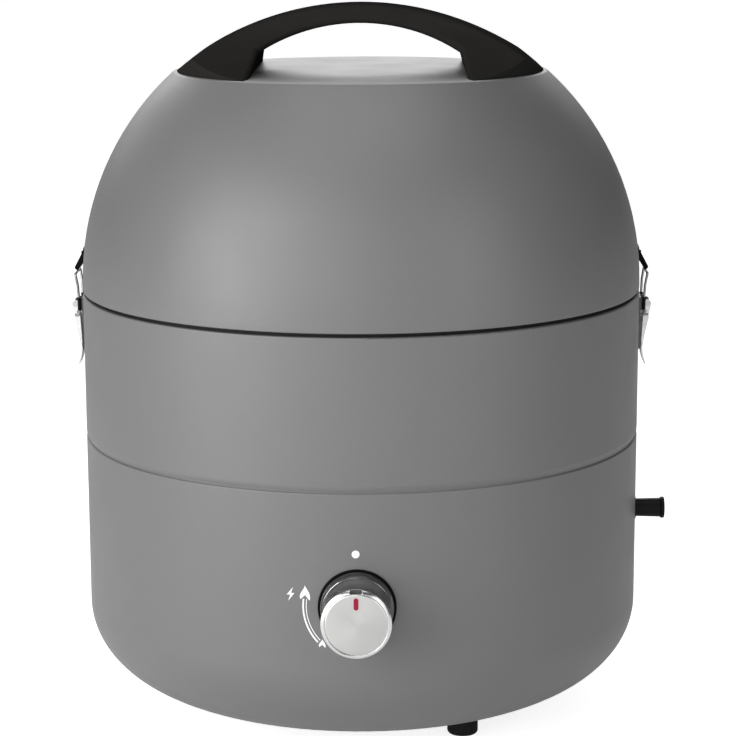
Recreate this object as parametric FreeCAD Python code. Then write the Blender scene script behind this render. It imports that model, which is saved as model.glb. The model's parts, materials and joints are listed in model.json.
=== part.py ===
import FreeCAD, Part
import math
import os

# Round portable gas grill. Millimetres; +Z up, -Y is the front with the knob. Heights are counted from a
# datum just below the grill; the finished parts are lowered by FOOT_SOLE_Z, so that the feet stand on z = 0.

V = FreeCAD.Vector
ORIGIN = V(0, 0, 0)
X, Y, Z = V(1, 0, 0), V(0, 1, 0), V(0, 0, 1)

# drum
R = 175.0  # outer radius of lid, ring and base
WALL = 1.2  # sheet thickness
R_IN = R - WALL
EDGE = 0.8  # rounding of the sheet edges at the seams

# base housing
Z_UNDER = 16.2
FLAT_R = 110.0
Z_CURVE = 69.4
Z_BASE_TOP = 177.0
GROOVE_H = 1.1
GROOVE_R = 173.9
FLANGE_R = 166.0
FLANGE_SCREW_R = 169.0

# ring
Z_RING_BOTTOM = Z_BASE_TOP + GROOVE_H
RING_ROUND, RING_ROUND_H = 0.9, 3.2
Z_RING_TOP = 267.3
HEM_R = 170.5
HEM_H = 4.9

# lid
Z_LID_BOTTOM = 269.5
Z_SPHERE = 273.3
Z_TOP = 404.5
TOP_ROUND = 3.0

# carry handle
HANDLE_TOP_Z, HANDLE_HALF_L = 445.5, 114.0
HANDLE_UNDER_Z = 434.1
HANDLE_FOOT_X, HANDLE_KNEE_X, HANDLE_KNEE_Z = 65.0, 61.5, 416.9
HANDLE_PLAN_R = 113.6
GRIP_HALF_W = 19.0
HANDLE_SCREWS = [(sx * 86.0, sy * 40.0) for sx in (-1, 1) for sy in (-1, 1)]

# feet, and the screw heads low on the sides
FOOT_SOLE_Z = 1.5
FOOT_R, FOOT_CIRCLE_R = 9.5, 105.0
FOOT_ANGLES = (37.0, 157.0, 277.0)
SIDE_SCREW_Z = 78.0

# knob and valve, on one axis along Y
KNOB_Z = 110.0
KNOB_R = 20.2
KNOB_FACE_Y = -209.0
KNOB_BACK_Y = -176.0
STEM_R = 3.0
PLUG_R = 5.5
RUNNING = 0.05
STEM_FLAT = 2.0
IGNITER_X, IGNITER_Z = -22.0, 104.0

# printed marks around the knob: the white dot, and the symbols at the ignite and low positions
PRINT_T = 0.12
DOT_R, DOT_ABOVE = 2.25, 31.6
BAND_R, BAND_GAP = 31.2, 1.8
BAND_FROM, BAND_TO = 172.0, 223.0

# gas inlet, along +X
INLET_Z = 123.5
INLET_R, INLET_TIP_R, INLET_BORE_R = 5.75, 6.9, 4.05
INLET_END_X = 194.2
INLET_BORE_L = 18.0

# latches: offsets are measured outwards from the drum's surface
PIVOT_OUT, PIVOT_Z = 5.5, 257.9
BAIL_OUT, BAIL_Z = 4.7, 252.9
BAIL_LEG_OUT, BAIL_HALF_W = 3.0, 9.6
BAIL_BAR_OUT, BAIL_BAR_Z = 4.6, 277.9
WIRE_R = 0.8
RIVET_R = 1.25
PLATE_RIVETS_Z = (236.5, 247.0)
CATCH_RIVET_Z, CATCH_RIVET_Y = 290.6, 11.2

NODES = {}


# ---------------------------------------------------------------- helpers


def face_xz(start, steps, y=0.0):
    """A flat face in the XZ plane. A step is (x, z), or ((x, z), (x, z)) for an arc, or a list for a curve."""
    at, edges = V(start[0], y, start[1]), []
    for step in steps + [start]:
        if isinstance(step, list):
            points = [at] + [V(x, y, z) for x, z in step]
            curve = Part.BSplineCurve()
            curve.interpolate(Points=points)
            edges.append(curve.toShape())
            at = points[-1]
        elif isinstance(step[0], tuple):
            mid, end = (V(x, y, z) for x, z in step)
            edges.append(Part.Arc(at, mid, end).toShape())
            at = end
        else:
            end = V(step[0], y, step[1])
            if (end - at).Length > 1e-6:
                edges.append(Part.makeLine(at, end))
            at = end
    return Part.Face(Part.Wire(edges))


def turned(start, steps, degrees=360.0):
    """A solid of revolution about Z."""
    return face_xz(start, steps).revolve(ORIGIN, Z, degrees)


def sector(start, steps, degrees, centre):
    """A slice of a solid of revolution, its middle `centre` degrees from +X."""
    shape = turned(start, steps, degrees)
    shape.rotate(ORIGIN, Z, centre - degrees / 2.0)
    return shape


def slab(start, steps, y0, y1):
    """An XZ outline as a plate from y0 to y1."""
    return face_xz(start, steps, y0).extrude(V(0, y1 - y0, 0))


def rod(p, q, radius):
    p, q = V(*p), V(*q)
    return Part.makeCylinder(radius, (q - p).Length, p, q - p)


def box(x0, x1, y0, y1, z0, z1):
    return Part.makeBox(x1 - x0, y1 - y0, z1 - z0, V(x0, y0, z0))


def fuse(shapes):
    shapes = list(shapes)
    return shapes[0].multiFuse(shapes[1:]).removeSplitter() if len(shapes) > 1 else shapes[0]


def group(shapes):
    return Part.makeCompound(list(shapes))


def bent(points, radius, bend, bore=0.0):
    """A round wire or pipe along straight runs joined by bends."""
    points = [V(*p) for p in points]
    edges, at = [], points[0]
    for a, b, c in zip(points, points[1:], points[2:]):
        u, w = (a - b).normalize(), (c - b).normalize()
        half = u.getAngle(w) / 2.0
        cut = bend / math.tan(half)
        p, q = b + u * cut, b + w * cut
        middle = b + (u + w).normalize() * (bend / math.sin(half) - bend)
        edges += [Part.makeLine(at, p), Part.Arc(p, middle, q).toShape()]
        at = q
    edges.append(Part.makeLine(at, points[-1]))
    spine = Part.Wire(edges)

    def sweep(r):
        ring = Part.Wire([Part.makeCircle(r, points[0], points[1] - points[0])])
        return spine.makePipeShell([ring], True, False)

    return sweep(radius).cut(sweep(bore)) if bore else sweep(radius)


def polar(radius, degrees):
    """A point at this radius, degrees counted from the front towards +X."""
    a = math.radians(degrees)
    return radius * math.sin(a), -radius * math.cos(a)


def quarter(flat_r, across, height, count=8):
    """Points of the quarter ellipse that rounds the underside, from the flat outwards."""
    return [
        (flat_r + across * math.sin(t), Z_CURVE - height * math.cos(t))
        for t in (math.pi / 2 * i / count for i in range(1, count + 1))
    ]


def prism(sides, across_flats, p, q):
    """A hexagonal or similar nut or bar from p to q."""
    p, q = V(*p), V(*q)
    outer = across_flats / 2.0 / math.cos(math.pi / sides)
    corners = [
        V(outer * math.cos(2 * math.pi * i / sides), outer * math.sin(2 * math.pi * i / sides), 0)
        for i in range(sides + 1)
    ]
    shape = Part.Face(Part.makePolygon(corners)).extrude(V(0, 0, (q - p).Length))
    shape.Placement = FreeCAD.Placement(p, FreeCAD.Rotation(Z, q - p))
    return shape


def both_sides(name, right):
    """Saves a part built for +X, and its mirror image."""
    NODES[name + "_right"] = right
    NODES[name + "_left"] = right.mirror(ORIGIN, X)


def drum(radius=R, z0=0.0, z1=300.0):
    return Part.makeCylinder(radius, z1 - z0, V(0, 0, z0))


def outline(x, z, width, height, start, steps):
    """An outline given from -0.5 to 0.5 across and 0 to 1 up, scaled and placed."""

    def place(step):
        if isinstance(step, list):
            return [place(p) for p in step]
        return x + width * step[0], z + height * step[1]

    return face_xz(place(start), [place(step) for step in steps], -R - 5.0)


def flame(x, z, width, height):
    right = [(0.17, 0.76), (0.42, 0.47), (0.50, 0.22), (0.45, 0.0)]
    left = [(-0.50, 0.26), (-0.36, 0.52), (-0.12, 0.76), (0.0, 1.0)]
    return outline(x, z, width, height, (0.0, 1.0), [right, (0.02, 0.36), (-0.44, 0.08), left])


def lightning(x, z, width, height):
    steps = [(-0.5, 0.44), (-0.04, 0.44), (-0.32, 0.0), (0.5, 0.57), (0.05, 0.57)]
    return outline(x, z, width, height, (0.32, 1.0), steps)


def arc_band(radius, width):
    """A stroke around the knob's axis."""

    def at(r, degrees):
        a = math.radians(degrees)
        return r * math.cos(a), KNOB_Z + r * math.sin(a)

    middle = (BAND_FROM + BAND_TO) / 2
    inner, outer = radius - width / 2, radius + width / 2
    steps = [
        (at(outer, middle), at(outer, BAND_TO)),
        at(inner, BAND_TO),
        (at(inner, middle), at(inner, BAND_FROM)),
    ]
    return face_xz(at(outer, BAND_FROM), steps, -R - 5.0)


# ---------------------------------------------------------------- base housing

outside = quarter(FLAT_R, R - FLAT_R, Z_CURVE - Z_UNDER)
inside = quarter(FLAT_R, R_IN - FLAT_R, Z_CURVE - Z_UNDER - WALL)
base = turned(
    (0.0, Z_UNDER),
    [
        (FLAT_R, Z_UNDER),
        outside,
        (R, Z_BASE_TOP - EDGE),
        ((R - 0.3 * EDGE, Z_BASE_TOP - 0.3 * EDGE), (R - EDGE, Z_BASE_TOP)),
        (FLANGE_R, Z_BASE_TOP),
        (FLANGE_R, Z_BASE_TOP - WALL),
        (R_IN, Z_BASE_TOP - WALL),
        (R_IN, Z_CURVE),
        inside[-2::-1] + [(FLAT_R, Z_UNDER + WALL)],
        (0.0, Z_UNDER + WALL),
    ],
)
foot_points = [polar(FOOT_CIRCLE_R, a) for a in FOOT_ANGLES]
flange_points = [polar(FLANGE_SCREW_R, 30.0 + 60.0 * i) for i in range(6)]
holes = [rod((0, -180, KNOB_Z), (0, -160, KNOB_Z), 21.4)]
holes += [rod((165, 0, INLET_Z), (180, 0, INLET_Z), INLET_R + 0.15)]
holes += [rod((x, y, Z_UNDER - 1), (x, y, Z_UNDER + 3), 2.1) for x, y in foot_points]
holes += [rod((x, y, Z_BASE_TOP - 3), (x, y, Z_BASE_TOP + 3), 1.7) for x, y in flange_points]
holes += [rod((s * 165, 0, SIDE_SCREW_Z), (s * 180, 0, SIDE_SCREW_Z), 2.1) for s in (-1, 1)]
for i in range(12):
    slot = fuse(
        [box(48, 82, -2.5, 2.5, Z_UNDER - 1, Z_UNDER + 3)]
        + [rod((x, 0, Z_UNDER - 1), (x, 0, Z_UNDER + 3), 2.5) for x in (48, 82)]
    )
    slot.rotate(ORIGIN, Z, 30.0 * i + 5.0)
    holes.append(slot)
NODES["base_shell"] = base.cut(holes)

film = drum(R + PRINT_T).cut(drum(R))
marks = [
    Part.Face(Part.Wire([Part.makeCircle(DOT_R, V(-0.8, -R - 5.0, KNOB_Z + DOT_ABOVE), Y)])),
    lightning(-38.4, 112.8, 4.4, 8.2),
    flame(-30.1, 113.4, 5.9, 9.2),
    arc_band(BAND_R, 0.9),
    arc_band(BAND_R - BAND_GAP, 0.45),
    flame(-20.3, 85.4, 3.9, 5.3),
]
NODES["dial_marks"] = group(face.extrude(V(0, 20, 0)).common(film) for face in marks)

NODES["feet"] = group(
    fuse(
        [
            rod((x, y, FOOT_SOLE_Z + 0.5), (x, y, Z_UNDER - 1.0), FOOT_R),
            Part.makeCone(FOOT_R - 0.5, FOOT_R, 0.5, V(x, y, FOOT_SOLE_Z)),
            rod((x, y, Z_UNDER - 1.0), (x, y, Z_UNDER), FOOT_R - 2.0),
        ]
    ).cut(rod((x, y, Z_UNDER - 6.0), (x, y, Z_UNDER + 1.0), 1.9))
    for x, y in foot_points
)
NODES["foot_screws"] = group(
    fuse(
        [
            rod((x, y, Z_UNDER - 5.6), (x, y, Z_UNDER + WALL), 1.8),
            rod((x, y, Z_UNDER + WALL), (x, y, Z_UNDER + WALL + 2.1), 4.0),
        ]
    )
    for x, y in foot_points
)
side_screw = fuse(
    [
        rod((168.5, 0, SIDE_SCREW_Z), (175.2, 0, SIDE_SCREW_Z), 2.0),
        Part.makeSphere(8.0, V(167.9, 0, SIDE_SCREW_Z)).common(
            rod((175.1, 0, SIDE_SCREW_Z), (180, 0, SIDE_SCREW_Z), 3.4)
        ),
    ]
)
cross = [
    box(175.5, 178, -0.4, 0.4, SIDE_SCREW_Z - 2, SIDE_SCREW_Z + 2),
    box(175.5, 178, -2, 2, SIDE_SCREW_Z - 0.4, SIDE_SCREW_Z + 0.4),
]
both_sides("side_screw", side_screw.cut(cross))

# ---------------------------------------------------------------- ring and seal

ring = turned(
    (FLANGE_R, Z_BASE_TOP),
    [
        (GROOVE_R, Z_BASE_TOP),
        (GROOVE_R, Z_RING_BOTTOM),
        (R - RING_ROUND, Z_RING_BOTTOM),
        ((R - 0.24 * RING_ROUND, Z_RING_BOTTOM + 0.5 * RING_ROUND_H), (R, Z_RING_BOTTOM + RING_ROUND_H)),
        (R, Z_RING_TOP - EDGE),
        ((R - 0.3 * EDGE, Z_RING_TOP - 0.3 * EDGE), (R - EDGE, Z_RING_TOP)),
        (HEM_R, Z_RING_TOP),
        (HEM_R, Z_RING_TOP - HEM_H),
        (R_IN, Z_RING_TOP - HEM_H),
        (R_IN, Z_RING_BOTTOM + WALL),
        (GROOVE_R - WALL, Z_RING_BOTTOM + WALL),
        (GROOVE_R - WALL, Z_BASE_TOP + WALL),
        (FLANGE_R, Z_BASE_TOP + WALL),
    ],
)
holes = [rod((x, y, Z_BASE_TOP - 1), (x, y, Z_BASE_TOP + 2.5), 1.7) for x, y in flange_points]
holes += [rod((s * 165, 0, z), (s * 180, 0, z), RIVET_R) for z in PLATE_RIVETS_Z for s in (-1, 1)]
NODES["ring_shell"] = ring.cut(holes)
NODES["flange_screws"] = group(
    fuse(
        [
            rod((x, y, Z_BASE_TOP - 6), (x, y, Z_BASE_TOP + WALL), 1.5),
            rod((x, y, Z_BASE_TOP + WALL), (x, y, Z_BASE_TOP + WALL + 1.6), 2.7),
        ]
    )
    for x, y in flange_points
)
NODES["seal_ring"] = turned(
    (170.6, Z_RING_TOP), [(172.6, Z_RING_TOP), (172.6, Z_LID_BOTTOM), (170.6, Z_LID_BOTTOM)]
)

# ---------------------------------------------------------------- fire bowl and grate

NODES["bowl_brackets"] = group(
    sector(
        (R_IN, 222.0),
        [(R_IN, 240.8), (163.0, 240.8), (163.0, 239.2), (R_IN - 1.6, 239.2), (R_IN - 1.6, 222.0)],
        8.0,
        45.0 + 90.0 * i,
    )
    for i in range(4)
)
BOWL_R, BOWL_WALL = 158.0, 1.2
NODES["fire_bowl"] = turned(
    (40.0, 165.0),
    [
        (BOWL_R - 34.0, 165.0),
        ((BOWL_R - 9.96, 174.96), (BOWL_R, 199.0)),
        (BOWL_R, 240.8),
        (171.6, 240.8),
        (171.6, 242.0),
        (BOWL_R - BOWL_WALL, 242.0),
        (BOWL_R - BOWL_WALL, 199.0),
        ((BOWL_R - 10.81, 175.81), (BOWL_R - 34.0, 166.2)),
        (40.0, 166.2),
    ],
)
NODES["grate_rests"] = group(
    sector(
        (BOWL_R - BOWL_WALL, 232.0),
        [
            (BOWL_R - BOWL_WALL, 247.5),
            (145.5, 247.5),
            (145.5, 246.1),
            (BOWL_R - BOWL_WALL - 1.4, 246.1),
            (BOWL_R - BOWL_WALL - 1.4, 232.0),
        ],
        7.0,
        60.0 * i,
    )
    for i in range(6)
)

GRATE_R, GRATE_RIM_R, BAR_R, GRATE_Z = 150.5, 2.5, 2.0, 250.0
grate = [Part.makeTorus(GRATE_R, GRATE_RIM_R, V(0, 0, GRATE_Z))]
for i in range(-10, 11):
    half = math.sqrt(GRATE_R**2 - (13.5 * i) ** 2)
    grate.append(rod((13.5 * i, -half, GRATE_Z + 1.6), (13.5 * i, half, GRATE_Z + 1.6), BAR_R))
for y in (-70.0, 70.0):
    half = math.sqrt(GRATE_R**2 - y**2)
    grate.append(rod((-half, y, GRATE_Z - 0.4), (half, y, GRATE_Z - 0.4), BAR_R))
NODES["cooking_grate"] = fuse(grate)

# ---------------------------------------------------------------- burner

BURNER_R = 62.0
head = turned(
    (0.0, 204.0),
    [
        (BURNER_R - 8.0, 204.0),
        ((BURNER_R - 2.3, 201.7), (BURNER_R, 196.0)),
        (BURNER_R, 189.0),
        (BURNER_R - 3.0, 187.5),
        (11.2, 187.5),
        (11.2, 178.0),
        (9.6, 178.0),
        (9.6, 189.5),
        (BURNER_R - 4.0, 189.5),
        (BURNER_R - 2.0, 191.0),
        (BURNER_R - 2.0, 196.0),
        ((BURNER_R - 3.8, 200.2), (BURNER_R - 8.0, 202.0)),
        (0.0, 202.0),
    ],
)
ports = []
for i in range(36):
    a = math.radians(10.0 * i + 5.0)
    inner, outer = BURNER_R - 6.0, BURNER_R + 2.0
    ports.append(
        rod(
            (inner * math.cos(a), inner * math.sin(a), 194.0),
            (outer * math.cos(a), outer * math.sin(a), 194.0),
            1.3,
        )
    )
NODES["burner_head"] = head.cut(ports)
NODES["mixing_tube"] = fuse(
    [
        bent([(0, -96, KNOB_Z), (0, 0, KNOB_Z), (0, 0, 178)], 11.2, 30.0, 9.6),
        Part.makeCone(15.0, 11.2, 10.0, V(0, -106, KNOB_Z), Y).cut(
            Part.makeCone(13.6, 9.6, 10.0, V(0, -106, KNOB_Z), Y)
        ),
    ]
)
strap = fuse(
    [
        box(-80, -60, -16, 16, 166.2, 167.7),
        box(60, 80, -16, 16, 166.2, 167.7),
        box(-61.5, -60, -16, 16, 166.2, 187.5),
        box(60, 61.5, -16, 16, 166.2, 187.5),
        box(-61.5, 61.5, -16, 16, 186.0, 187.5),
    ]
)
NODES["burner_strap"] = strap.cut(rod((0, 0, 180), (0, 0, 190), 11.4))
NODES["heat_plate"] = fuse(
    [
        turned(
            (0.0, 224.0),
            [(60.0, 224.0), (84.0, 218.0), (84.0, 216.8), (59.9, 222.8), (0.0, 222.8)],
        )
    ]
    + [rod((*polar(40.0, 120.0 * i), 204.0), (*polar(40.0, 120.0 * i), 223.0), 3.0) for i in range(3)]
)
NODES["electrode"] = fuse(
    [
        box(-53.5, -46.5, -53.5, -46.5, 166.2, 177.0),
        rod((-50, -50, 177.0), (-50, -50, 190.0), 3.0),
        rod((-50, -50, 190.0), (-50, -50, 197.0), 0.8),
    ]
)

# ---------------------------------------------------------------- gas train

bracket = box(-34, 34, -173.8, -163.0, 90, 131).common(drum(R_IN))
bracket = bracket.cut(
    [
        box(-32.4, 32.4, -175, -164.6, 80, 140),
        rod((0, -170, KNOB_Z), (0, -160, KNOB_Z), 9.2),
        rod((IGNITER_X, -170, IGNITER_Z), (IGNITER_X, -160, IGNITER_Z), 5.2),
    ]
)
NODES["valve_bracket"] = bracket
valve = fuse(
    [
        rod((0, -169.5, KNOB_Z), (0, -150, KNOB_Z), 9.0),
        rod((0, -163.0, KNOB_Z), (0, -132, KNOB_Z), 13.0),
        rod((0, -132, KNOB_Z), (0, -124, KNOB_Z), 7.0),
        rod((0, -146, KNOB_Z), (19, -146, KNOB_Z), 6.0),
    ]
)
NODES["gas_valve"] = valve.cut(
    [
        rod((0, -170, KNOB_Z), (0, -140, KNOB_Z), PLUG_R + RUNNING),
        rod((0, -141, KNOB_Z), (0, -123, KNOB_Z), 1.5),
        rod((2, -146, KNOB_Z), (20, -146, KNOB_Z), 2.4),
        rod((13.5, -146, KNOB_Z), (20, -146, KNOB_Z), 3.3),
    ]
)
NODES["injector"] = fuse(
    [
        prism(6, 10.0, (0, -124, KNOB_Z), (0, -118, KNOB_Z)),
        rod((0, -118, KNOB_Z), (0, -100, KNOB_Z), 3.6),
        Part.makeCone(3.6, 2.0, 3.0, V(0, -100, KNOB_Z), Y),
    ]
).cut(rod((0, -125, KNOB_Z), (0, -96, KNOB_Z), 0.9))
NODES["gas_pipe"] = bent(
    [
        (162.0, 0, INLET_Z),
        (138.0, 0, INLET_Z),
        (96.0, -104.0, 116.0),
        (60.0, -146.0, KNOB_Z),
        (14.0, -146.0, KNOB_Z),
    ],
    3.2,
    14.0,
    2.2,
)
inlet = turned(
    (0.0, 0.0),
    [
        (INLET_R, 0.0),
        (INLET_R, 13.0),
        (INLET_R + 0.4, INLET_END_X - 162.0 - 2.7),
        (INLET_TIP_R - 0.3, INLET_END_X - 162.0 - 2.3),
        (INLET_TIP_R, INLET_END_X - 162.0 - 1.8),
        (INLET_TIP_R, INLET_END_X - 162.0 - 0.4),
        (INLET_TIP_R - 0.4, INLET_END_X - 162.0),
        (0.0, INLET_END_X - 162.0),
    ],
)
inlet.Placement = FreeCAD.Placement(V(162.0, 0, INLET_Z), FreeCAD.Rotation(Z, X))
collar = rod((174.0, 0, INLET_Z), (175.9, 0, INLET_Z), 7.4).cut(drum())
NODES["gas_inlet"] = fuse([inlet, collar]).cut(
    [
        rod((INLET_END_X - INLET_BORE_L, 0, INLET_Z), (200, 0, INLET_Z), INLET_BORE_R),
        rod((150, 0, INLET_Z), (180, 0, INLET_Z), 2.2),
    ]
)
NODES["inlet_nut"] = prism(6, 17.0, (167.4, 0, INLET_Z), (173.3, 0, INLET_Z)).cut(
    rod((160, 0, INLET_Z), (180, 0, INLET_Z), INLET_R)
)
NODES["piezo_igniter"] = fuse(
    [
        rod((IGNITER_X, -169, IGNITER_Z), (IGNITER_X, -163, IGNITER_Z), 5.0),
        rod((IGNITER_X, -163, IGNITER_Z), (IGNITER_X, -136, IGNITER_Z), 7.5),
        rod((IGNITER_X, -136, IGNITER_Z), (IGNITER_X, -131, IGNITER_Z), 3.0),
    ]
)
NODES["ignition_wire"] = bent(
    [
        (IGNITER_X, -131, IGNITER_Z),
        (IGNITER_X, -84, IGNITER_Z),
        (-26, -34, 130),
        (-24, -24, 171.5),
        (-46.5, -46.5, 171.5),
    ],
    1.2,
    5.0,
)

# ---------------------------------------------------------------- knob

bezel = turned(
    (20.7, 0.0),
    [
        (22.7, 0.0),
        (22.7, 5.9),
        ((22.4, 6.6), (21.7, 6.8)),
        ((20.95, 6.6), (20.7, 6.0)),
    ],
)
bezel.Placement = FreeCAD.Placement(V(0, -169.8, KNOB_Z), FreeCAD.Rotation(Z, V(0, -1, 0)))
spigot = rod((0, -174.5, KNOB_Z), (0, -169.8, KNOB_Z), 21.3)
spigot = spigot.cut(rod((0, -180, KNOB_Z), (0, -171.2, KNOB_Z), 20.7))
spigot = spigot.cut(rod((0, -180, KNOB_Z), (0, -160, KNOB_Z), 7.0))
NODES["knob_bezel"] = fuse([bezel.cut(drum(R)), spigot])

NODES["valve_plug"] = rod((0, -168.6, KNOB_Z), (0, -140.4, KNOB_Z), PLUG_R).cut(
    rod((0, -169, KNOB_Z), (0, -147, KNOB_Z), STEM_R + RUNNING).cut(
        box(-4, 4, -170, -146, KNOB_Z + STEM_FLAT + RUNNING, KNOB_Z + 5)
    )
)
NODES["valve_stem"] = rod((0, -198, KNOB_Z), (0, -154, KNOB_Z), STEM_R).cut(
    box(-4, 4, -175, -150, KNOB_Z + STEM_FLAT, KNOB_Z + 5)
)
depth = -KNOB_FACE_Y + KNOB_BACK_Y
barrel = turned(
    (0.0, depth - 4.6),
    [
        (KNOB_R - 2.0, depth - 4.6),
        (KNOB_R - 2.0, 0.4),
        (KNOB_R - 1.6, 0.0),
        (KNOB_R - 0.4, 0.0),
        (KNOB_R, 0.4),
        (KNOB_R, depth - 1.6),
        ((KNOB_R - 0.35, depth - 0.55), (KNOB_R - 1.4, depth)),
        (KNOB_R - 2.0, depth),
        (KNOB_R - 2.0, depth - 1.2),
        (0.0, depth - 1.2),
    ],
)
boss = turned((0.0, 9.6), [(6.2, 9.6), (6.2, depth - 4.6), (0.0, depth - 4.6)])
barrel = fuse([barrel, boss])
barrel.Placement = FreeCAD.Placement(V(0, KNOB_BACK_Y, KNOB_Z), FreeCAD.Rotation(Z, V(0, -1, 0)))
NODES["knob_body"] = barrel.cut(
    [
        rod((0, -198, KNOB_Z), (0, -170, KNOB_Z), STEM_R),
        box(-3.4, 3.4, KNOB_FACE_Y - 1, KNOB_FACE_Y + 2.6, KNOB_Z + KNOB_R - 1.3, KNOB_Z + KNOB_R + 1),
    ]
)
face_disc = turned(
    (0.0, 0.0),
    [(KNOB_R - 2.3, 0.0), (KNOB_R - 2.3, 0.8), (KNOB_R - 2.7, 1.1), (0.0, 1.1)],
)
face_disc.Placement = FreeCAD.Placement(V(0, KNOB_FACE_Y + 1.2, KNOB_Z), FreeCAD.Rotation(Z, V(0, -1, 0)))
NODES["knob_face"] = face_disc
pointer = fuse(
    [box(-1.3, 1.3, KNOB_FACE_Y - 0.4, KNOB_FACE_Y + 0.1, KNOB_Z + 10.1, KNOB_Z + 14.5)]
    + [rod((0, KNOB_FACE_Y - 0.4, KNOB_Z + z), (0, KNOB_FACE_Y + 0.1, KNOB_Z + z), 1.3) for z in (10.1, 14.5)]
)
NODES["knob_pointer"] = pointer

# ---------------------------------------------------------------- lid

r_fillet = math.sqrt((R - TOP_ROUND) ** 2 - (Z_TOP - TOP_ROUND - Z_SPHERE) ** 2)
lean = math.atan2(Z_TOP - TOP_ROUND - Z_SPHERE, r_fillet)
shoulder = (R * math.cos(lean), Z_SPHERE + R * math.sin(lean))
mid_lean = (lean + math.pi / 2) / 2
corner = (r_fillet + TOP_ROUND * math.cos(mid_lean), Z_TOP - TOP_ROUND + TOP_ROUND * math.sin(mid_lean))
inner_top = math.asin((Z_TOP - WALL - Z_SPHERE) / R_IN)
lid = turned(
    (HEM_R, Z_LID_BOTTOM),
    [
        (R - EDGE, Z_LID_BOTTOM),
        ((R - 0.3 * EDGE, Z_LID_BOTTOM + 0.3 * EDGE), (R, Z_LID_BOTTOM + EDGE)),
        (R, Z_SPHERE),
        ((R * math.cos(lean / 2), Z_SPHERE + R * math.sin(lean / 2)), shoulder),
        (corner, (r_fillet, Z_TOP)),
        (0.0, Z_TOP),
        (0.0, Z_TOP - WALL),
        (R_IN * math.cos(inner_top), Z_TOP - WALL),
        ((R_IN * math.cos(inner_top / 2), Z_SPHERE + R_IN * math.sin(inner_top / 2)), (R_IN, Z_SPHERE)),
        (HEM_R, Z_SPHERE),
    ],
)
holes = [rod((x, y, Z_TOP - 3), (x, y, Z_TOP + 2), 2.1) for x, y in HANDLE_SCREWS]
holes += [
    rod((s * 160, y, CATCH_RIVET_Z), (s * 180, y, CATCH_RIVET_Z), RIVET_R)
    for y in (-CATCH_RIVET_Y, CATCH_RIVET_Y)
    for s in (-1, 1)
]
for i in range(-3, 4):
    vent = fuse(
        [box(-7, 7, 140, 190, 306, 311)] + [rod((x, 140, 308.5), (x, 190, 308.5), 2.5) for x in (-7, 7)]
    )
    vent.rotate(ORIGIN, Z, 9.0 * i)
    holes.append(vent)
NODES["lid_shell"] = lid.cut(holes)

profile = slab(
    (-HANDLE_HALF_L, Z_TOP),
    [
        ((0.0, HANDLE_TOP_Z), (HANDLE_HALF_L, Z_TOP)),
        (HANDLE_FOOT_X, Z_TOP),
        (HANDLE_KNEE_X, HANDLE_KNEE_Z),
        ((0.0, HANDLE_UNDER_Z), (-HANDLE_KNEE_X, HANDLE_KNEE_Z)),
        (-HANDLE_FOOT_X, Z_TOP),
    ],
    -100.0,
    100.0,
)
flare = [(92.0, 404.5), (70.0, 409.5), (46.0, 418.5), (28.0, 429.0), (20.0, 441.0), (GRIP_HALF_W, 450.0)]
side = face_xz(
    (-flare[0][0], flare[0][1]),
    [
        [(-y, z) for y, z in flare[1:]],
        (GRIP_HALF_W, 450.0),
        flare[-2::-1],
    ],
).extrude(V(0, 300, 0))
side.translate(V(0, -150, 0))
side.rotate(ORIGIN, Z, 90.0)
plan = Part.makeCylinder(HANDLE_PLAN_R, 60.0, V(0, 0, Z_TOP))
handle = profile.common(side).common(plan)
crests = [e for e in handle.Edges if e.BoundBox.ZMax > HANDLE_TOP_Z - 1 and e.BoundBox.YLength < 60]
handle = handle.makeFillet(5.0, crests)
bellies = [
    e
    for e in handle.Edges
    if e.BoundBox.YLength < 60
    and abs(e.BoundBox.XMin) < HANDLE_FOOT_X + 0.1
    and abs(e.BoundBox.XMax) < HANDLE_FOOT_X + 0.1
    and e.BoundBox.ZLength > 5
]
handle = handle.makeFillet(2.5, bellies)
NODES["lid_handle"] = handle.cut([rod((x, y, Z_TOP - 1), (x, y, Z_TOP + 7), 1.9) for x, y in HANDLE_SCREWS])
NODES["handle_screws"] = group(
    fuse([rod((x, y, 399.0), (x, y, 402.1), 3.6), rod((x, y, 402.0), (x, y, Z_TOP + 6.5), 1.8)])
    for x, y in HANDLE_SCREWS
)
NODES["handle_washers"] = group(
    rod((x, y, 402.1), (x, y, Z_TOP - WALL), 6.0).cut(rod((x, y, 400), (x, y, Z_TOP), 2.0))
    for x, y in HANDLE_SCREWS
)

# ---------------------------------------------------------------- latches

plate = sector((R, 229.5), [(R + 1.3, 229.5), (R + 1.3, 262.5), (R, 262.5)], 7.2, 0.0)
ear = [
    (R + PIVOT_OUT, PIVOT_Z - 2.2),
    ((R + PIVOT_OUT + 2.2, PIVOT_Z), (R + PIVOT_OUT, PIVOT_Z + 2.2)),
    (R + 1.1, PIVOT_Z + 4.6),
]
ears = [slab((R + 1.1, PIVOT_Z - 5.0), ear, y0, y0 + 1.1) for y0 in (-6.3, 5.2)]
pivot = rod((R + PIVOT_OUT, -10, PIVOT_Z), (R + PIVOT_OUT, 10, PIVOT_Z), RIVET_R)
holes = [rod((165, 0, z), (180, 0, z), RIVET_R) for z in PLATE_RIVETS_Z]
both_sides("latch_plate", fuse([plate] + ears).cut([pivot] + holes))
both_sides(
    "plate_rivets",
    group(
        fuse([rod((R_IN - 0.8, 0, z), (R + 1.3, 0, z), RIVET_R), rod((R + 1.3, 0, z), (R + 2.0, 0, z), 2.2)])
        for z in PLATE_RIVETS_Z
    ),
)
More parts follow.
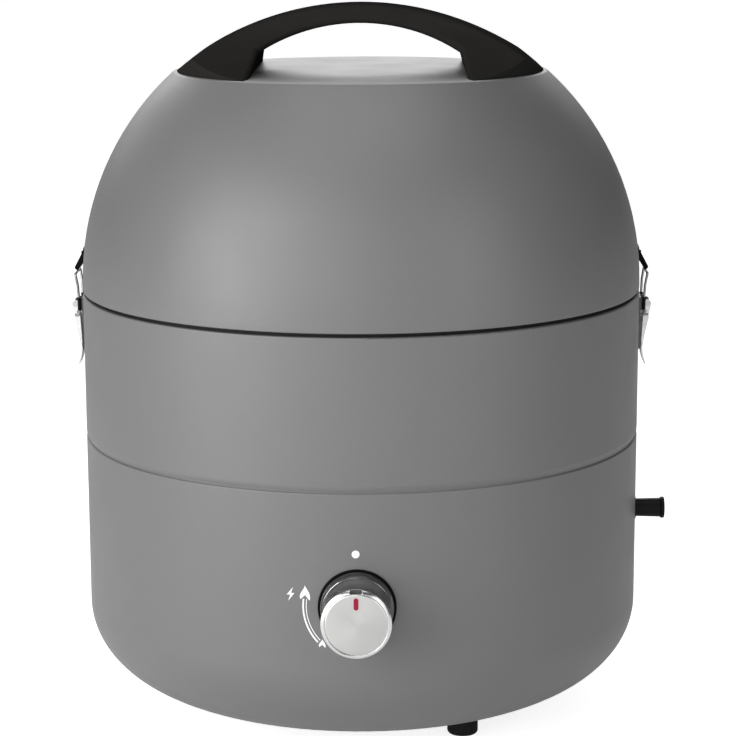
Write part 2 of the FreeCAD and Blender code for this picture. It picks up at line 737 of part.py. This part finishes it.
both_sides(
    "latch_pin",
    fuse(
        [
            rod((R + PIVOT_OUT, -8.2, PIVOT_Z), (R + PIVOT_OUT, 8.2, PIVOT_Z), RIVET_R),
            rod((R + PIVOT_OUT, -8.2, PIVOT_Z), (R + PIVOT_OUT, -7.7, PIVOT_Z), 1.8),
            rod((R + PIVOT_OUT, 7.7, PIVOT_Z), (R + PIVOT_OUT, 8.2, PIVOT_Z), 1.8),
        ]
    ),
)

cheek = [
    ((R + PIVOT_OUT, PIVOT_Z + 2.3), (R + PIVOT_OUT - 2.2, PIVOT_Z - 0.6)),
    (R + 2.9, 250.0),
    (R + 2.2, 240.0),
    (R + 1.9, 233.0),
    (R + 2.7, 232.0),
    (R + 3.9, 239.0),
    (R + 5.4, 246.0),
]
cheeks = [slab((R + PIVOT_OUT + 2.2, PIVOT_Z - 0.6), cheek, y0, y0 + 1.1) for y0 in (-7.6, 6.5)]
skin = [
    (R + 5.8, 246.0),
    (R + 4.2, 239.0),
    (R + 3.1, 232.5),
    [(R + 2.8, 229.5), (R + 3.1, 226.0), (R + 5.1, 219.3)],
    (R + 4.2, 219.0),
    [(R + 2.2, 226.0), (R + 1.9, 229.5), (R + 2.2, 232.7)],
    (R + 3.2, 239.0),
    (R + 4.8, 246.0),
    (R + 5.6, 249.5),
]
lever = fuse(
    [slab((R + 6.6, 249.5), skin, -7.6, 7.6)]
    + cheeks
    + [rod((R + BAIL_OUT, -10.9, BAIL_Z), (R + BAIL_OUT, 10.9, BAIL_Z), 0.7)]
)
hole = rod((R + PIVOT_OUT, -10, PIVOT_Z), (R + PIVOT_OUT, 10, PIVOT_Z), RIVET_R + RUNNING)
both_sides("latch_lever", lever.cut(hole))

leg = [
    (5.9, 251.3, BAIL_HALF_W),
    (BAIL_LEG_OUT, 250.9, BAIL_HALF_W),
    (BAIL_LEG_OUT, 262.5, BAIL_HALF_W),
    (3.4, 270.5, 10.7),
    (BAIL_BAR_OUT, BAIL_BAR_Z, 11.9),
]
wire = [(R + o, -y, z) for o, z, y in leg] + [(R + o, y, z) for o, z, y in leg[::-1]]
both_sides("latch_bail", bent(wire, WIRE_R, 1.5))
sleeves = [
    fuse(
        [
            rod((R + BAIL_LEG_OUT, y, 254.2), (R + BAIL_LEG_OUT, y, 261.5), 0.97),
            Part.makeSphere(1.3, V(R + BAIL_LEG_OUT, y, 261.5)),
        ]
    ).cut(rod((R + BAIL_LEG_OUT, y, 250), (R + BAIL_LEG_OUT, y, 265), WIRE_R))
    for y in (-BAIL_HALF_W, BAIL_HALF_W)
]
both_sides("bail_sleeves", group(sleeves))

shell = Part.makeSphere(R + 0.8, V(0, 0, Z_SPHERE)).cut(Part.makeSphere(R, V(0, 0, Z_SPHERE)))
pad = shell.common(box(150, 190, -14.0, 14.0, 286.5, 294.5))
rivet_ys = (-CATCH_RIVET_Y, CATCH_RIVET_Y)
pad = pad.cut([rod((160, y, CATCH_RIVET_Z), (185, y, CATCH_RIVET_Z), RIVET_R) for y in rivet_ys])
tongue = slab(
    (R - 1.0, 293.6),
    [
        (R + 5.2, 282.0),
        ((R + 5.3, 280.9), (R + 4.6, 280.1)),
        (R + 3.6, 279.3),
        (R + 2.7, 280.4),
        (R - 2.0, 288.0),
    ],
    -8.0,
    8.0,
)
tongue = tongue.cut(
    [
        Part.makeSphere(R, V(0, 0, Z_SPHERE)),
        rod((R + BAIL_BAR_OUT, -10, BAIL_BAR_Z), (R + BAIL_BAR_OUT, 10, BAIL_BAR_Z), WIRE_R + 0.5),
    ]
)
both_sides("lid_catch", fuse([pad, tongue]))
catch_rivets = group(
    fuse(
        [
            rod((170.8, y, CATCH_RIVET_Z), (174.8, y, CATCH_RIVET_Z), RIVET_R),
            rod((174.2, y, CATCH_RIVET_Z), (175.3, y, CATCH_RIVET_Z), 2.0),
        ]
    )
    for y in rivet_ys
)
both_sides("catch_rivet", catch_rivets.cut(pad))

# ---------------------------------------------------------------- files

os.makedirs("parts", exist_ok=True)
for name in sorted(NODES):
    NODES[name].translate(V(0, 0, -FOOT_SOLE_Z))
    NODES[name].exportStep("parts/" + name + ".step")
    print(name, NODES[name].isValid(), len(NODES[name].Solids), round(NODES[name].Volume / 1000.0, 2))
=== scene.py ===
"""Looks of the round portable gas grill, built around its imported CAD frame. Metres; -Y is the front."""

import json
import math

import bmesh
import bpy
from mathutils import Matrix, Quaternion, Vector


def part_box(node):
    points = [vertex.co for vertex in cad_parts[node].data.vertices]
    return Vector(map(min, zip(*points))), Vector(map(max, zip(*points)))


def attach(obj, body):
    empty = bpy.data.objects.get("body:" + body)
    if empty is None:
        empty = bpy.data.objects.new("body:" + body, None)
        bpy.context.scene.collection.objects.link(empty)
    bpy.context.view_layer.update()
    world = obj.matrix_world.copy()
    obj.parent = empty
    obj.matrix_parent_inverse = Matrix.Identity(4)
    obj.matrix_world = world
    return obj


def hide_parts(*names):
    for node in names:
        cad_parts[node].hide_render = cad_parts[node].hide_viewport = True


MM = 0.001

# sizes in millimetres
LINER_R = 21.1  # outer radius of the bright liner in the knob's bezel
NOTCH_HALF_W = 3.3
SOLE_ROUND = 2.2

# studio, in metres
LIGHTS_AIM = Vector((0.0, 0.0, 0.222))
LIGHTS_AWAY = 1.9
FLOOR_HALF = 40.0


# ------------------------------------------------------------------ material helpers


class Look:
    """A Principled material and the procedural nodes that feed it. Textures use object space, in metres."""

    def __init__(self, name, **values):
        self.material = bpy.data.materials.new(name)
        self.material.use_nodes = True
        self.tree = self.material.node_tree
        self.shader = self.tree.nodes["Principled BSDF"]
        for socket, value in values.items():
            self.shader.inputs[socket.replace("_", " ")].default_value = value
        self.coords = self.node("ShaderNodeTexCoord").outputs["Object"]

    def node(self, kind, **settings):
        made = self.tree.nodes.new(kind)
        for key, value in settings.items():
            setattr(made, key, value)
        return made

    def link(self, source, target):
        self.tree.links.new(source, target)

    def stretched(self, scale):
        """The object coordinates, scaled along X, Y and Z."""
        mapping = self.node("ShaderNodeMapping")
        mapping.inputs["Scale"].default_value = scale
        self.link(self.coords, mapping.inputs["Vector"])
        return mapping.outputs["Vector"]

    def from_y_axis(self, height=0.0):
        """The distance from a line that runs along Y at the given height."""
        apart = self.node("ShaderNodeSeparateXYZ")
        self.link(self.coords, apart.inputs[0])
        across = self.maths("POWER", apart.outputs["X"], 2.0)
        above = self.maths("POWER", self.maths("SUBTRACT", apart.outputs["Z"], height), 2.0)
        return self.maths("SQRT", self.maths("ADD", across, above), 0.0)

    def only_x(self, value, scale):
        """A place along one line, so that noise changes with one value only, as in rings."""
        joined = self.node("ShaderNodeCombineXYZ")
        self.link(self.maths("MULTIPLY", value, scale), joined.inputs["X"])
        return joined.outputs["Vector"]

    def noise(self, scale, detail=3.0, roughness=0.5, at=None):
        made = self.node("ShaderNodeTexNoise")
        made.inputs["Scale"].default_value = scale
        made.inputs["Detail"].default_value = detail
        made.inputs["Roughness"].default_value = roughness
        self.link(at or self.coords, made.inputs["Vector"])
        return made.outputs["Fac"]

    def cells(self, scale):
        made = self.node("ShaderNodeTexVoronoi")
        made.inputs["Scale"].default_value = scale
        self.link(self.coords, made.inputs["Vector"])
        return made.outputs["Distance"]

    def span(self, value, low, high, start, end):
        """The value, mapped from start..end to low..high."""
        made = self.node("ShaderNodeMapRange")
        for socket, number in (("From Min", start), ("From Max", end), ("To Min", low), ("To Max", high)):
            made.inputs[socket].default_value = number
        self.link(value, made.inputs["Value"])
        return made.outputs["Result"]

    def maths(self, operation, a, b):
        made = self.node("ShaderNodeMath", operation=operation)
        for socket, value in zip(made.inputs, (a, b)):
            if isinstance(value, (int, float)):
                socket.default_value = value
            else:
                self.link(value, socket)
        return made.outputs["Value"]

    def mixed(self, factor, a, b):
        made = self.node("ShaderNodeMix", data_type="RGBA")
        self.link(factor, made.inputs["Factor"])
        for socket, colour in ((made.inputs[6], a), (made.inputs[7], b)):
            if isinstance(colour, tuple):
                socket.default_value = (*colour, 1.0)
            else:
                self.link(colour, socket)
        return made.outputs[2]

    def colour(self, source):
        self.link(source, self.shader.inputs["Base Color"])
        return self

    def roughness(self, source):
        self.link(source, self.shader.inputs["Roughness"])
        return self

    def bump(self, *layers):
        """Stacked bumps, each (height, depth in metres)."""
        below = None
        for height, depth in layers:
            made = self.node("ShaderNodeBump")
            made.inputs["Distance"].default_value = depth
            self.link(height, made.inputs["Height"])
            if below:
                self.link(below, made.inputs["Normal"])
            below = made.outputs["Normal"]
        self.link(below, self.shader.inputs["Normal"])
        return self


def grey(value):
    return (value, value, value)


# ------------------------------------------------------------------ materials


def powder_coat():
    look = Look("grey_powder_coat", Specular_IOR_Level=0.5)
    cloud = look.noise(7.0, 2.0)
    grain = look.noise(2600.0, 2.0)
    base = look.mixed(look.span(cloud, 0, 1, 0.3, 0.7), grey(0.122), grey(0.130))
    fleck = look.span(grain, 0.0, 1.0, 0.35, 0.75)
    look.colour(look.mixed(fleck, base, grey(0.14)))
    look.roughness(look.span(look.noise(30.0, 4.0), 0.40, 0.46, 0.3, 0.7))
    return look.bump((look.noise(650.0, 2.0), 0.03 * MM), (grain, 0.012 * MM)).material


def moulded_black(name, shine, low, high):
    look = Look(name, Specular_IOR_Level=shine)
    look.colour(look.mixed(look.noise(60.0, 4.0), low, high))
    look.roughness(look.span(look.noise(120.0, 4.0), 0.32, 0.42, 0.3, 0.7))
    return look.bump((look.cells(1900.0), 0.02 * MM), (look.noise(3500.0, 2.0), 0.01 * MM)).material


def lined_bezel():
    """Black plastic with a bright liner round its inner edge, next to the knob."""
    low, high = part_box("knob_bezel")
    look = Look("bezel_black", Specular_IOR_Level=0.01)
    radius = look.from_y_axis((low.z + high.z) / 2)
    liner = look.span(radius, 1.0, 0.0, LINER_R * MM, (LINER_R + 0.05) * MM)
    look.link(liner, look.shader.inputs["Metallic"])
    plastic = look.mixed(look.noise(60.0, 4.0), grey(0.0028), grey(0.0045))
    look.colour(look.mixed(liner, plastic, grey(0.45)))
    look.roughness(look.span(look.noise(120.0, 4.0), 0.3, 0.42, 0.3, 0.7))
    return look.bump((look.noise(3500.0, 2.0), 0.01 * MM)).material


def painted_black():
    look = Look("black_steel", Specular_IOR_Level=0.22)
    look.colour(look.mixed(look.noise(90.0, 4.0), grey(0.003), grey(0.006)))
    look.roughness(look.span(look.noise(300.0, 4.0), 0.3, 0.46, 0.3, 0.7))
    return look.bump((look.noise(900.0, 3.0), 0.03 * MM)).material


def black_enamel():
    look = Look("enamel", Specular_IOR_Level=0.5, Coat_Weight=0.6, Coat_Roughness=0.12)
    spots = look.span(look.cells(420.0), 1.0, 0.0, 0.05, 0.14)
    look.colour(look.mixed(spots, grey(0.012), grey(0.11)))
    look.roughness(look.span(look.noise(70.0, 4.0), 0.22, 0.36, 0.3, 0.7))
    return look.bump((look.noise(260.0, 3.0), 0.06 * MM)).material


def soft_rubber():
    look = Look("rubber", Specular_IOR_Level=0.2)
    look.colour(look.mixed(look.noise(140.0, 5.0), grey(0.004), grey(0.009)))
    look.roughness(look.span(look.noise(500.0, 4.0), 0.6, 0.8, 0.3, 0.7))
    return look.bump((look.noise(1500.0, 4.0), 0.05 * MM)).material


def polished_chrome():
    look = Look("chrome", Metallic=1.0)
    look.colour(look.mixed(look.noise(40.0, 3.0), grey(0.66), grey(0.74)))
    fine = look.noise(1.0, 3.0, at=look.stretched((900.0, 60.0, 900.0)))
    look.roughness(look.span(fine, 0.16, 0.26, 0.3, 0.7))
    return look.bump((fine, 0.003 * MM)).material


def spun_disc():
    """The knob's face: fine rings about its axis, which is the Y axis of the piece."""
    look = Look("brushed_face", Metallic=1.0, Anisotropic=0.3)
    rings = look.noise(1.0, 4.0, 0.65, at=look.only_x(look.from_y_axis(), 5200.0))
    blotch = look.noise(160.0, 4.0)
    tone = look.span(rings, 0.0, 1.0, 0.3, 0.7)
    look.colour(look.mixed(tone, (0.512, 0.51, 0.498), (0.592, 0.589, 0.578)))
    look.roughness(look.span(look.maths("ADD", rings, blotch), 0.34, 0.5, 0.7, 1.3))
    tangent = look.node("ShaderNodeTangent", direction_type="RADIAL", axis="Y")
    look.link(tangent.outputs["Tangent"], look.shader.inputs["Tangent"])
    return look.bump((rings, 0.004 * MM), (blotch, 0.006 * MM)).material


def brushed_metal(name, low, high, lines=(500.0, 500.0, 500.0)):
    """Brushed metal, or plated metal with even grain. lines is the texture's scale along X, Y and Z."""
    look = Look(name, Metallic=1.0)
    streak = look.noise(1.0, 4.0, 0.6, at=look.stretched(lines))
    blotch = look.noise(110.0, 4.0)
    tone = look.maths("MULTIPLY", streak, blotch)
    look.colour(look.mixed(look.span(tone, 0.0, 1.0, 0.12, 0.4), low, high))
    look.roughness(look.span(blotch, 0.24, 0.4, 0.3, 0.7))
    return look.bump((streak, 0.012 * MM)).material


def cast_metal():
    look = Look("cast_aluminium", Metallic=1.0)
    look.colour(look.mixed(look.noise(220.0, 4.0), grey(0.42), grey(0.58)))
    look.roughness(look.span(look.noise(300.0, 4.0), 0.42, 0.62, 0.3, 0.7))
    return look.bump((look.noise(700.0, 5.0, 0.6), 0.12 * MM)).material


def turned_brass():
    look = Look("brass", Metallic=1.0)
    look.colour(look.mixed(look.noise(180.0, 4.0), (0.55, 0.38, 0.15), (0.74, 0.55, 0.27)))
    look.roughness(look.span(look.noise(400.0, 3.0), 0.2, 0.36, 0.3, 0.7))
    return look.bump((look.noise(1.0, 3.0, at=look.stretched((300.0, 3500.0, 300.0))), 0.01 * MM)).material


def glazed_ceramic():
    look = Look("ceramic", Coat_Weight=0.5, Coat_Roughness=0.08)
    look.colour(look.mixed(look.noise(200.0, 4.0), (0.72, 0.69, 0.62), (0.84, 0.82, 0.77)))
    look.roughness(look.span(look.noise(350.0, 3.0), 0.2, 0.34, 0.3, 0.7))
    return look.bump((look.noise(800.0, 3.0), 0.02 * MM)).material


def wire_cover():
    look = Look("wire_cover", Specular_IOR_Level=0.4)
    look.colour(look.mixed(look.noise(300.0, 4.0), (0.02, 0.02, 0.022), (0.045, 0.043, 0.043)))
    look.roughness(look.span(look.noise(600.0, 3.0), 0.45, 0.62, 0.3, 0.7))
    return look.bump((look.noise(2200.0, 3.0), 0.03 * MM)).material


def red_enamel():
    look = Look("red_mark", Specular_IOR_Level=0.25)
    look.colour(look.mixed(look.noise(700.0, 3.0), (0.22, 0.002, 0.024), (0.30, 0.004, 0.034)))
    look.roughness(look.span(look.noise(900.0, 3.0), 0.32, 0.44, 0.3, 0.7))
    return look.bump((look.noise(1800.0, 2.0), 0.008 * MM)).material


def white_ink():
    look = Look("white_print", Specular_IOR_Level=0.4)
    look.colour(look.mixed(look.noise(1500.0, 3.0), grey(0.80), grey(0.88)))
    look.roughness(look.span(look.noise(1200.0, 3.0), 0.46, 0.6, 0.3, 0.7))
    return look.bump((look.noise(3000.0, 2.0), 0.01 * MM)).material


WARM_BLACK = ((0.0052, 0.0047, 0.0044), (0.0080, 0.0072, 0.0067))
HANDLE_BLACK = ((0.0150, 0.0143, 0.0137), (0.0205, 0.0196, 0.0188))
MAKERS = {
    "grey_powder_coat": powder_coat,
    "black_plastic": lambda: moulded_black("black_plastic", 0.11, *WARM_BLACK),
    "black_steel": painted_black,
    "enamel": black_enamel,
    "rubber": soft_rubber,
    "chrome": polished_chrome,
    "brushed_face": spun_disc,
    "bright_steel": lambda: brushed_metal("bright_steel", grey(0.55), grey(0.74), (120.0, 1500.0, 160.0)),
    "plated_steel": lambda: brushed_metal("plated_steel", grey(0.42), grey(0.6)),
    "brass": turned_brass,
    "cast_aluminium": cast_metal,
    "ceramic": glazed_ceramic,
    "wire_cover": wire_cover,
    "red_mark": red_enamel,
    "white_print": white_ink,
    "bezel_black": lined_bezel,
    "handle_black": lambda: moulded_black("handle_black", 0.0, *HANDLE_BLACK),
    "catch_black": lambda: moulded_black("catch_black", 0.03, grey(0.003), grey(0.006)),
    "notch_grey": lambda: moulded_black("notch_grey", 0.1, grey(0.055), grey(0.08)),
    # the latch plates: plated steel painted darker, as painted shade for the dark surroundings that the plate
    # reflects
    "shaded_plate_steel": lambda: brushed_metal("shaded_plate_steel", grey(0.06), grey(0.12)),
    "wire_steel": lambda: brushed_metal("wire_steel", grey(0.24), grey(0.36)),
}
# nodes that look a little different from the rest of their slot, the latch plates darker with painted shade; a
# latch's nodes end in the side
OWN_LOOK = {
    "knob_bezel": "bezel_black",
    "lid_handle": "handle_black",
    "lid_catch": "catch_black",
    "catch_rivet": "catch_black",
    "latch_plate": "shaded_plate_steel",
    "latch_bail": "wire_steel",
}


def dress(materials):
    """Gives each CAD node its own look, or else the material of its slot in the record."""
    slots = {part["node"]: part["material_slot"] for part in frame["record"]["subparts"]}
    for name, node in frame["nodes"].items():
        if not node.data.materials:
            node.data.materials.append(None)
        for place in node.material_slots:
            place.link = "OBJECT"
            both_sides = name.removesuffix("_left").removesuffix("_right")
            place.material = materials[OWN_LOOK.get(both_sides, slots[name])]


# ------------------------------------------------------------------ pieces


def arc(centre, radius, start, end, count):
    """Points of an arc in that many steps, as (radius, distance), by angles in degrees."""
    turns = [math.radians(start + (end - start) * i / count) for i in range(count + 1)]
    return [(centre[0] + radius * math.cos(t), centre[1] + radius * math.sin(t)) for t in turns]


def turned(name, profile, origin, along, materials, sharp, sides):
    """A closed lathe mesh. Its profile's points are (radius, distance along the axis, material), in mm."""
    along = Vector(along)
    across = along.orthogonal().normalized()
    third = along.cross(across)
    turns = [2.0 * math.pi * i / sides for i in range(sides)]
    outwards = [across * math.cos(t) + third * math.sin(t) for t in turns]
    mesh = bmesh.new()
    rings = []
    for radius, distance, _ in profile:
        middle = along * distance * MM
        if radius == 0.0:
            rings.append([mesh.verts.new(middle)] * sides)
        else:
            rings.append([mesh.verts.new(way * radius * MM + middle) for way in outwards])
    for (low, high), point in zip(zip(rings, rings[1:]), profile[1:]):
        for i in range(sides):
            j = (i + 1) % sides
            corners = list(dict.fromkeys((low[i], low[j], high[j], high[i])))
            mesh.faces.new(corners).material_index = point[2]
    bmesh.ops.recalc_face_normals(mesh, faces=mesh.faces)
    return finished(name, mesh, origin, materials, sharp)


def finished(name, mesh, origin, materials, sharp):
    """An object made from a bmesh, smooth except at edges sharper than the angle."""
    data = bpy.data.meshes.new(name)
    mesh.to_mesh(data)
    mesh.free()
    data.shade_smooth()
    data.set_sharp_from_angle(angle=math.radians(sharp))
    for material in materials:
        data.materials.append(material)
    piece = bpy.data.objects.new(name, data)
    piece.location = origin
    bpy.context.scene.collection.objects.link(piece)
    return piece


def carved(piece, cutter):
    """Cuts one piece out of another for good. The new faces keep the cutter's material."""
    cut = piece.modifiers.new("cut", "BOOLEAN")
    cut.operation, cut.solver, cut.object, cut.material_mode = "DIFFERENCE", "EXACT", cutter, "TRANSFER"
    bpy.context.view_layer.update()
    result = bpy.data.meshes.new_from_object(piece.evaluated_get(bpy.context.evaluated_depsgraph_get()))
    piece.modifiers.clear()
    piece.data = result
    bpy.data.objects.remove(cutter)
    return piece


def block(name, low, high, origin, materials, rounding):
    """A box with rounded edges, from corner to corner, in millimetres from the origin."""
    mesh = bmesh.new()
    bmesh.ops.create_cube(mesh, size=1.0)
    low, high = Vector(low) * MM, Vector(high) * MM
    for v in mesh.verts:
        v.co = Vector((low[i] + (high[i] - low[i]) * (v.co[i] + 0.5) for i in range(3)))
    bmesh.ops.bevel(mesh, geom=mesh.edges[:], offset=rounding * MM, segments=3, affect="EDGES", profile=0.5)
    return finished(name, mesh, origin, materials, 50.0)


def islands(node):
    """The boxes of a CAD node's separate solids, as (lowest corner, highest corner), ordered by place."""
    mesh = bmesh.new()
    mesh.from_mesh(frame["nodes"][node].data)
    bmesh.ops.remove_doubles(mesh, verts=mesh.verts, dist=0.001 * MM)
    boxes, left = [], set(mesh.verts)
    while left:
        # a solid grows from one vertex, by the neighbours that it doesn't have yet
        group, edge = set(), {left.pop()}
        while edge:
            group |= edge
            edge = {e.other_vert(v) for v in edge for e in v.link_edges} - group
        left -= group
        lows, highs = zip(*((min(v.co[i] for v in group), max(v.co[i] for v in group)) for i in range(3)))
        boxes.append((Vector(lows), Vector(highs)))
    mesh.free()
    return sorted(boxes, key=lambda pair: tuple(pair[0]))


def knob(materials):
    """A turned knob: a barrel with a fine groove, a domed bright rim with a notch, and a spun disc.

    Distances along its axis count from the front of the CAD knob, and are negative towards the back.
    """
    low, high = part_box("knob_body")
    radius, depth = (high.z - low.z) / 2 / MM, (high.y - low.y) / MM
    centre = Vector((0.0, low.y, (low.z + high.z) / 2))
    barrel = radius - 0.12
    hollow = radius - 3.0
    groove, groove_depth = -depth + 7.0, 0.25
    bright = [(0.0, -depth + 2.0), (hollow, -depth + 2.0), (hollow, -depth)]
    bright += arc((barrel - 0.2, -depth + 0.2), 0.2, -90, 0, 3)
    bright += [(barrel, groove), (barrel - groove_depth, groove + 0.2), (barrel - groove_depth, groove + 0.5)]
    bright += [(barrel, groove + 0.7), (barrel, -3.6), (radius, -3.2)]
    bright += arc((radius - 0.7, -2.0), 0.7, 0, 62, 6)
    bright += arc((radius - 1.75, -0.36), 0.3, 62, 150, 5)
    bright += [(radius - 2.0, -1.2), (radius - 2.25, -1.2)]
    bright += [(radius - 2.35, -0.55), (radius - 2.75, -0.16)]
    disc = [(radius - 3.1, -0.1), (0.0, -0.1)]
    steps = [(r, d, 0) for r, d in bright] + [(r, d, 1) for r, d in disc]
    finishes = [materials["chrome"], materials["brushed_face"]]
    piece = turned("knob_turned", steps, centre, (0, -1, 0), finishes, 35.0, 256)
    inner, outer = (-NOTCH_HALF_W, -1.0, radius - 2.4), (NOTCH_HALF_W, 2.6, radius + 2.0)
    carved(piece, block("notch", inner, outer, centre, [materials["notch_grey"]], 0.25))
    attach(piece, "knob")
    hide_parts("knob_body", "knob_face")


def feet(materials):
    """Rubber feet, each with a rounded sole, a hollow for its screw under it, and a neck at the top."""
    for number, (low, high) in enumerate(islands("feet"), 1):
        radius, height = (high.x - low.x) / 2 / MM, (high.z - low.z) / MM
        place = Vector(((low.x + high.x) / 2, (low.y + high.y) / 2, low.z))
        neck = radius - 2.0
        steps = [(0.0, 1.6), (3.6, 1.6), (4.2, 1.2), (4.6, 0.25), (4.9, 0.0), (radius - SOLE_ROUND, 0.0)]
        steps += arc((radius - SOLE_ROUND, SOLE_ROUND), SOLE_ROUND, -90, 0, 10)
        steps += arc((radius - 0.6, height - 1.6), 0.6, 0, 90, 4)
        steps += [(neck, height - 1.0), (neck, height), (0.0, height)]
        profile = [(r, d, 0) for r, d in steps]
        piece = turned(f"foot_{number}", profile, place, (0, 0, 1), [materials["rubber"]], 40.0, 72)
        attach(piece, "housing")
        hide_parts("feet")


# ------------------------------------------------------------------ studio


def softbox(name, azimuth, elevation, size, power):
    """An area light that looks at the drum's middle. Azimuth counts from the front, positive towards +X."""
    data = bpy.data.lights.new(name, "AREA")
    data.shape = "RECTANGLE"
    data.size, data.size_y = size
    data.energy = power
    light = bpy.data.objects.new(name, data)
    a, e = math.radians(azimuth), math.radians(elevation)
    away = Vector((math.sin(a) * math.cos(e), -math.cos(a) * math.cos(e), math.sin(e)))
    light.location = LIGHTS_AIM + away * LIGHTS_AWAY
    light.rotation_mode = "QUATERNION"
    light.rotation_quaternion = (-away).to_track_quat("-Z", "Y")
    bpy.context.scene.collection.objects.link(light)


def seen_or_lit(nodes, links, seen, lit):
    """A strength with one value for what the eye sees and another for what lights the object."""
    path = nodes.new("ShaderNodeLightPath")
    span = nodes.new("ShaderNodeMapRange")
    span.inputs["To Max"].default_value = seen
    links.new(path.outputs["Is Camera Ray"], span.inputs["Value"])
    if isinstance(lit, float):
        span.inputs["To Min"].default_value = lit
    else:
        links.new(lit, span.inputs["To Min"])
    return span.outputs["Result"]


def faded(nodes, links, value, low, high, top):
    """A strength that rises smoothly, from nothing where the value is low to the top where it is high."""
    fade = nodes.new("ShaderNodeMapRange")
    fade.interpolation_type = "SMOOTHSTEP"
    fade.inputs["From Min"].default_value = low
    fade.inputs["From Max"].default_value = high
    fade.inputs["To Max"].default_value = top
    links.new(value, fade.inputs["Value"])
    return fade.outputs["Result"]


def product(nodes, links, a, b):
    node = nodes.new("ShaderNodeMath")
    node.operation = "MULTIPLY"
    links.new(a, node.inputs[0])
    links.new(b, node.inputs[1])
    return node.outputs[0]


def sky(behind):
    """A white backdrop. Only its part behind the object gives light, fading out to the right and downwards."""
    world = bpy.data.worlds.new("studio")
    world.use_nodes = True
    nodes, links = world.node_tree.nodes, world.node_tree.links
    plain = nodes["Background"]
    plain.inputs["Color"].default_value = (1, 1, 1, 1)
    coords = nodes.new("ShaderNodeTexCoord")
    parts = nodes.new("ShaderNodeSeparateXYZ")
    links.new(coords.outputs["Generated"], parts.inputs[0])
    back = faded(nodes, links, parts.outputs["Y"], 0.6, 1.0, behind)
    above = faded(nodes, links, parts.outputs["Z"], 0.0, 0.4, 1.0)
    left = faded(nodes, links, parts.outputs["X"], 0.7, 0.0, 1.0)
    lit = product(nodes, links, product(nodes, links, back, above), left)
    links.new(seen_or_lit(nodes, links, 1.0, lit), plain.inputs["Strength"])
    bpy.context.scene.world = world


def floor(seen, lit):
    """White paper as far as the eye reaches."""
    mesh = bpy.data.meshes.new("floor")
    corners = [(x * FLOOR_HALF, y * FLOOR_HALF, 0) for x, y in ((-1, -1), (1, -1), (1, 1), (-1, 1))]
    mesh.from_pydata(corners, [], [(0, 1, 2, 3)])
    plane = bpy.data.objects.new("floor", mesh)
    bpy.context.scene.collection.objects.link(plane)
    look = Look("floor_paper", Roughness=0.9, Specular_IOR_Level=0.1)
    look.shader.inputs["Emission Color"].default_value = (1, 1, 1, 1)
    glow = seen_or_lit(look.tree.nodes, look.tree.links, seen, lit)
    look.link(glow, look.shader.inputs["Emission Strength"])
    look.colour(look.mixed(look.noise(3.0), grey(0.86), grey(0.88)))
    mesh.materials.append(look.material)


def camera():
    """The eye stands 1.49 m from the drum's axis, a little to the right, and looks down a little."""
    distance, height = 1.4906, 0.5149
    azimuth, pitch, roll = math.radians(1.0), math.radians(11.432), math.radians(-0.234)
    data = bpy.data.cameras.new("camera")
    data.sensor_width, data.lens, data.shift_x = 36.0, 116.65, 0.0088
    eye = bpy.data.objects.new("camera", data)
    eye.location = (distance * math.sin(azimuth), -distance * math.cos(azimuth), height)
    ahead = Vector((-math.sin(azimuth), math.cos(azimuth), 0)) * math.cos(pitch)
    level = (ahead - Vector((0, 0, math.sin(pitch)))).to_track_quat("-Z", "Y")
    eye.rotation_mode = "QUATERNION"
    eye.rotation_quaternion = level @ Quaternion((0, 0, 1), roll)
    bpy.context.scene.collection.objects.link(eye)
    bpy.context.scene.camera = eye


def studio():
    """A pale floor and backdrop, soft light mostly from the left, and the camera."""
    bpy.context.scene.view_settings.view_transform = "Standard"
    camera()
    sky(4.7)
    floor(0.8, 0.15)
    softbox("key", -50, 15, (1.2, 1.6), 30.6)
    softbox("key_low", -65, 5, (0.9, 1.6), 5.2)
    softbox("front_left", -15, 20, (1.2, 1.6), 11.4)
    softbox("front_right", 30, 15, (1.2, 1.6), 4.1)
    softbox("right", 48, 12, (0.9, 1.6), 6.4)
    softbox("top", 0, 80, (1.6, 1.6), 14.3)


# ------------------------------------------------------------------ the scene

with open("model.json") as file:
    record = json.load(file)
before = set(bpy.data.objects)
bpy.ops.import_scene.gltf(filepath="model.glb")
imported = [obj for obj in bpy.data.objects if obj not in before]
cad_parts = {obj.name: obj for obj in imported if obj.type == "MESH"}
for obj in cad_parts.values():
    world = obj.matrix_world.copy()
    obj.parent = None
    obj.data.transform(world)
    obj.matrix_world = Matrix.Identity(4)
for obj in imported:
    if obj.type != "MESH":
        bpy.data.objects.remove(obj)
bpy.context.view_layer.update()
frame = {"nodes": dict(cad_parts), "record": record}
finishes = {name: make() for name, make in MAKERS.items()}
dress(finishes)
knob(finishes)
feet(finishes)
studio()
